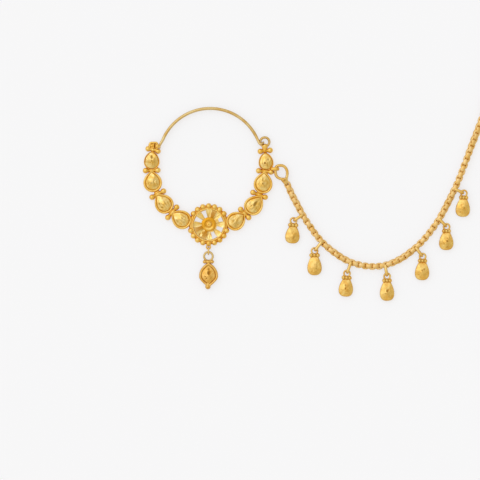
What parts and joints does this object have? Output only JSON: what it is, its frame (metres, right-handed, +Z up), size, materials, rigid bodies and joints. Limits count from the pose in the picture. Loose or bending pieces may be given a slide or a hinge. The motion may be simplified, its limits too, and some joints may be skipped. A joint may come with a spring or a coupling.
{
  "type": "hoop nose ring with side chain",
  "caption": "Gold hoop nose ring with pear-shaped cut settings, a flower medallion, a pendant drop and a long side chain with small drops that ends in a plain hair hook. It lies flat.",
  "frame": {"origin": "bottom centre of the whole object's box, on the surface that it lies on", "axes": "+X from the hoop towards the chain's far end, +Y from the pendant towards the hoop's open wire, +Z up out of the cut faces"},
  "size_m": [0.103, 0.0678, 0.0023],
  "materials": {
    "gold_frame": "polished 22-carat yellow gold, soldered collets, granules and rim, darker in the grooves",
    "gold_cut": "bright-cut 22-carat yellow gold, mirror facets",
    "gold_flower": "polished 22-carat yellow gold, stamped petals, deeper orange in the cup",
    "gold_wire": "drawn and polished 22-carat gold wire",
    "gold_chain": "polished 22-carat gold belcher links, dark between the links"
  },
  "bodies": {
    "ring_and_chain": {"hoop_frame": "gold_frame", "pear_left_1": "gold_cut", "pear_left_2": "gold_cut", "pear_left_3": "gold_cut", "pear_left_4": "gold_cut", "pear_right_4": "gold_cut", "pear_right_3": "gold_cut", "pear_right_2": "gold_cut", "pear_right_1": "gold_cut", "flower": "gold_flower", "flower_centre": "gold_flower", "pendant_setting": "gold_frame", "pendant_pear": "gold_cut", "pendant_link": "gold_wire", "chain_hook": "gold_wire", "chain": "gold_chain", "drop_link_1": "gold_wire", "drop_1": "gold_cut", "drop_link_2": "gold_wire", "drop_2": "gold_cut", "drop_link_3": "gold_wire", "drop_3": "gold_cut", "drop_link_4": "gold_wire", "drop_4": "gold_cut", "drop_link_5": "gold_wire", "drop_5": "gold_cut", "drop_link_6": "gold_wire", "drop_6": "gold_cut", "drop_link_7": "gold_wire", "drop_7": "gold_cut", "hair_hook": "gold_wire"},
    "wire": {"hoop_wire": "gold_wire"}
  },
  "joints": [
    {"name": "wire_hinge", "type": "hinge", "parent": "ring_and_chain", "child": "wire", "pos_m": [-0.04734, 0.01093, 0.0011], "axis": [0, -1, 0], "range_deg": [0, 120]}
  ]
}
